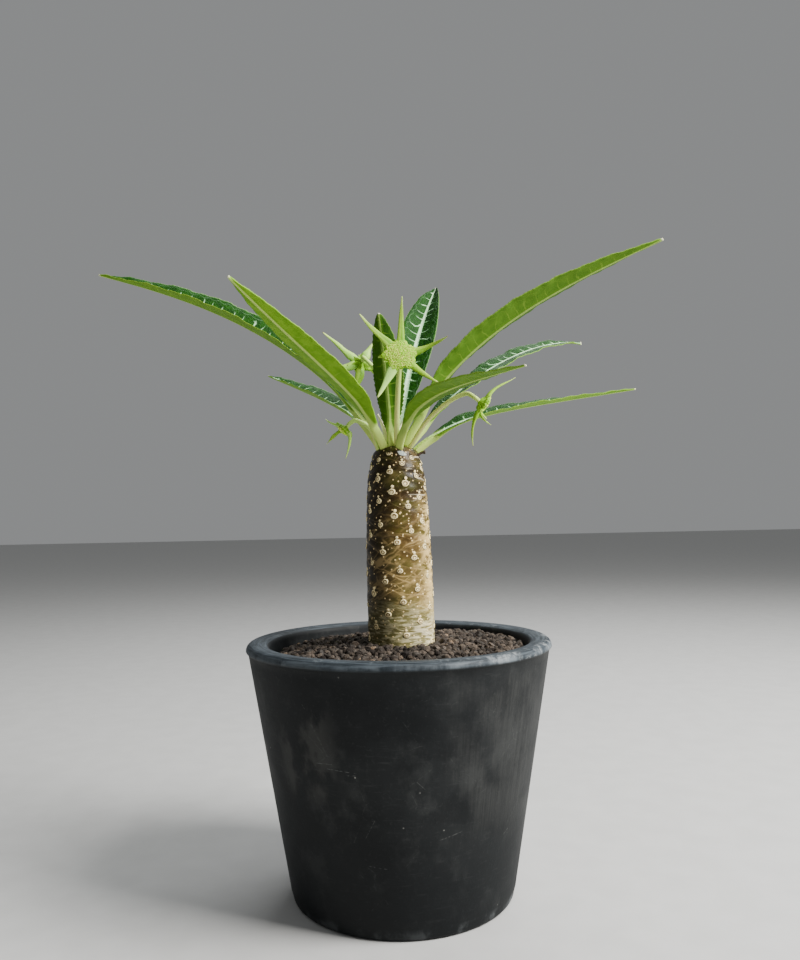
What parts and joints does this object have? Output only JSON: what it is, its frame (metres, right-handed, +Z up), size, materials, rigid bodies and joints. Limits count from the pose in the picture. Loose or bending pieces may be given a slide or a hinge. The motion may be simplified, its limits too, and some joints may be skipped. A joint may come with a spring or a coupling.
{
  "type": "potted dorstenia",
  "caption": "Upright caudex succulent with a tuft of long channelled leaves and star-shaped flower heads, growing in a conical thick-lipped pot filled with gritty soil.",
  "frame": {"origin": "centre of the pot's base, on the surface it stands on", "axes": "+Z up along the pot's axis; -Y towards the front, the side with the open flower head; +X to its right"},
  "size_m": [0.2273, 0.1294, 0.2521],
  "materials": {
    "pot_black": "matte",
    "soil_brown": "matte",
    "stem_brown": "satin",
    "leaf_green": "satin",
    "young_cream": "satin",
    "floret_green": "matte",
    "stalk_green": "satin",
    "dry_brown": "matte"
  },
  "bodies": {
    "root": {"pot": "pot_black", "soil": "soil_brown", "stem": "stem_brown", "leaf_far_left": "leaf_green", "leaf_left_front": "leaf_green", "leaf_low_left": "leaf_green", "leaf_upright_front": "leaf_green", "leaf_upright_back": "leaf_green", "leaf_far_right": "leaf_green", "leaf_right_back": "leaf_green", "leaf_right_front": "leaf_green", "leaf_low_right": "leaf_green", "young_leaf_tall": "young_cream", "young_leaf_left": "young_cream", "young_leaf_right": "young_cream", "flower_front_stalk": "stalk_green", "flower_front_head": "floret_green", "flower_back_left_stalk": "stalk_green", "flower_back_left_head": "floret_green", "flower_right_stalk": "stalk_green", "flower_right_head": "floret_green", "flower_left_stalk": "stalk_green", "flower_left_head": "floret_green", "dry_stub": "dry_brown"}
  },
  "joints": []
}
